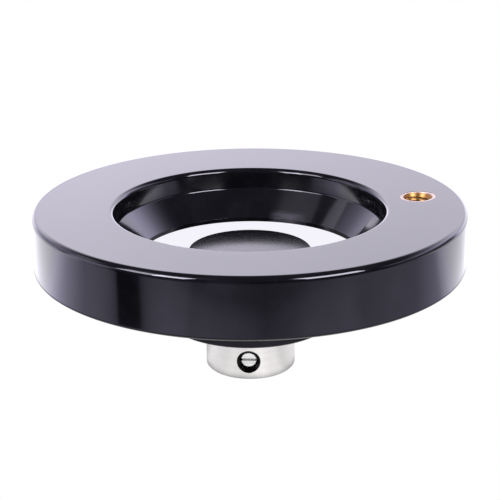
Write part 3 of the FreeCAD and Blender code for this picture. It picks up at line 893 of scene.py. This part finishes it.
def make_softbox(name, azimuth, elevation, width, height, radiance):
    """A soft light that faces the wheel."""
    data = bpy.data.lights.new(name, "AREA")
    data.shape = "RECTANGLE"
    data.size = 2 * SOFTBOX_DISTANCE * math.tan(math.radians(width) / 2)
    data.size_y = 2 * SOFTBOX_DISTANCE * math.tan(math.radians(height) / 2)
    data.energy = radiance * math.pi * data.size * data.size_y
    data.color = STUDIO_TINT
    lamp = bpy.data.objects.new(name, data)
    bpy.context.scene.collection.objects.link(lamp)
    out = studio_direction(*degrees(azimuth, elevation))
    lamp.matrix_world = Matrix.Translation(UP * TOP + out * SOFTBOX_DISTANCE) @ facing(out)


def make_world():
    """Bright surroundings behind the wheel and low at its sides, darker overhead and behind the camera."""
    world = bpy.data.worlds.new("studio")
    bpy.context.scene.world = world
    world.use_nodes = True
    tree = world.node_tree
    direction = add(tree, "TexCoord").outputs["Generated"]
    height = add(tree, "SeparateXYZ", {"Vector": direction}).outputs["Z"]
    bearing = reckon(tree, "ARCTAN2", along(tree, direction, RIGHTWARD), along(tree, direction, AWAY))
    sideways = reckon(tree, "ABSOLUTE", bearing)
    glow = multiply(tree, follow(tree, height, BACKDROP_BY_HEIGHT), follow(tree, bearing, BACKDROP_BY_BEARING))
    backdrop = reckon(tree, "MULTIPLY_ADD", glow, BACKDROP_RADIANCE, ROOM_RADIANCE)
    wings = multiply(tree, spread(tree, sideways, *WING_START),
                     spread(tree, sideways, *WING_END, WING_RADIANCE, 0.0),
                     spread(tree, height, *WING_TOP, 1.0, 0.0))
    corner = multiply(tree, spread(tree, height, *CORNER_TOP, CORNER_SHADE, 0.0),
                      spread(tree, bearing, *CORNER_BEARING))
    mirrored = multiply(tree, reckon(tree, "ADD", backdrop, wings), reckon(tree, "SUBTRACT", 1.0, corner))
    seen = add(tree, "LightPath").outputs["Is Camera Ray"]
    strength = add(tree, "Mix", {"Factor": seen, "A": mirrored, "B": 1.0}).outputs["Result"]
    # The tint goes half way along its colours to the sides, and the camera sees its end.
    aside = spread(tree, sideways, *SIDE_TINT_BEARING, 0.0, 0.5)
    tint = ramp(tree, reckon(tree, "MAXIMUM", aside, seen), ((0, STUDIO_TINT), (0.5, SIDE_TINT), (1, WHITE)))
    background = tree.nodes["Background"]
    tree.links.new(tint, background.inputs["Color"])
    tree.links.new(strength, background.inputs["Strength"])


def painted_floor_glow(tree, here):
    """Painted glow and painted shade on the floor as the gloss mirrors it, by distance and bearing."""
    ahead = along(tree, here, AWAY)
    aside = along(tree, here, RIGHTWARD)
    bearing = reckon(tree, "ARCTAN2", aside, multiply(tree, ahead, -1.0))
    radius = reckon_vector(tree, "LENGTH", here)
    # Painted contact shadow at the bush and painted shadow round the wheel.
    rings = multiply(tree, follow(tree, radius, FLOOR_RINGS), follow(tree, bearing, FLOOR_RING_BANDS))
    # Painted light that fades darker towards the camera, with painted patches by bearing.
    field = multiply(tree, follow(tree, ahead, FLOOR_AHEAD), follow(tree, bearing, FLOOR_PATCHES),
                     spread(tree, aside, *FLOOR_SIDES, *FLOOR_SIDE_LEVELS))
    outside = spread(tree, radius, *FLOOR_RINGS_END)
    strength = add(tree, "Mix", {"Factor": outside, "A": rings, "B": field}).outputs["Result"]
    far = multiply(tree, spread(tree, radius, *FLOOR_NEAR_END), spread(tree, ahead, *FLOOR_FAR_START, 0.5, 1.0))
    tint = ramp(tree, far, ((0, FLOOR_NEAR_TINT), (0.5, FLOOR_TINT), (1, FLOOR_FAR_TINT)))
    return add(tree, "Emission", {"Color": tint, "Strength": strength}).outputs[0]


def make_floor():
    """Plain white floor with a painted soft shade behind the wheel; the gloss sees a painted glow with painted
    shade instead. It is open from below.
    """
    bpy.ops.object.select_all(action="DESELECT")
    bpy.ops.mesh.primitive_plane_add(size=FLOOR_SIZE)
    floor = named("floor")
    material, tree, shader, here = new_material("floor")
    tree.nodes.remove(shader)
    behind = reckon_vector(tree, "LENGTH", reckon_vector(tree, "SUBTRACT", here, SHADE_PLACE))
    shade = ramp(tree, spread(tree, behind, *SHADE_EDGE), ((0, SHADE_COLOUR), (1, WHITE)))
    seen = add(tree, "Emission", {"Color": shade, "Strength": 1.0}).outputs[0]
    camera_ray = add(tree, "LightPath").outputs["Is Camera Ray"]
    above = add(tree, "MixShader", {0: camera_ray, 1: painted_floor_glow(tree, here), 2: seen}).outputs[0]
    below = add(tree, "BsdfTransparent").outputs[0]
    backfacing = add(tree, "NewGeometry").outputs["Backfacing"]
    both = add(tree, "MixShader", {0: backfacing, 1: above, 2: below}).outputs[0]
    tree.links.new(both, tree.nodes["Material Output"].inputs["Surface"])
    floor.data.materials.append(material)


def make_card():
    """A black card beside the camera, out of the picture, that the rim's gloss mirrors as a dark strip."""
    bpy.ops.object.select_all(action="DESELECT")
    bpy.ops.mesh.primitive_plane_add(size=1)
    card = named("black_card")
    turn = facing(studio_direction(CARD_FACING, 0))
    middle = studio_direction(CARD_AZIMUTH, 0) * CARD_DISTANCE + UP * CARD_HEIGHT / 2
    place(card, Matrix.Translation(middle) @ turn @ Matrix.Diagonal((CARD_WIDTH, CARD_HEIGHT, 1, 1)))
    material, tree, shader, here = new_material("black_card")
    shader.inputs["Base Color"].default_value = CARD_COLOUR
    shader.inputs["Roughness"].default_value = CARD_ROUGHNESS
    offset = reckon_vector(tree, "SUBTRACT", here, middle)
    sideways = along(tree, offset, turn.to_3x3() @ Vector((-1, 0, 0)))
    tree.links.new(follow(tree, sideways, CARD_DENSITY), shader.inputs["Alpha"])
    card.data.materials.append(material)
    card.visible_camera = False


marks = handling_marks()
turned = turning_marks()
wear(make_wheel(), "moulded_wheel", "wheel", "wheel_body", black_phenolic(marks))
wear(make_bush(), "turned_bush", "wheel", "hub_bush",
     turned_metal("bush_metal", turned, marks, **BUSH_FINISH))
wear(make_insert(), "brass_insert", "wheel", "handle_insert",
     turned_metal("insert_brass", turned, marks, **INSERT_FINISH))
wear(make_screw(), "slotted_screw", "set_screw", "set_screw",
     turned_metal("screw_steel", turned, marks, **SCREW_FINISH))
make_world()
make_floor()
make_card()
for name, settings in SOFTBOXES.items():
    make_softbox(name, *settings)
make_camera()
bpy.context.scene.view_settings.view_transform = "Standard"
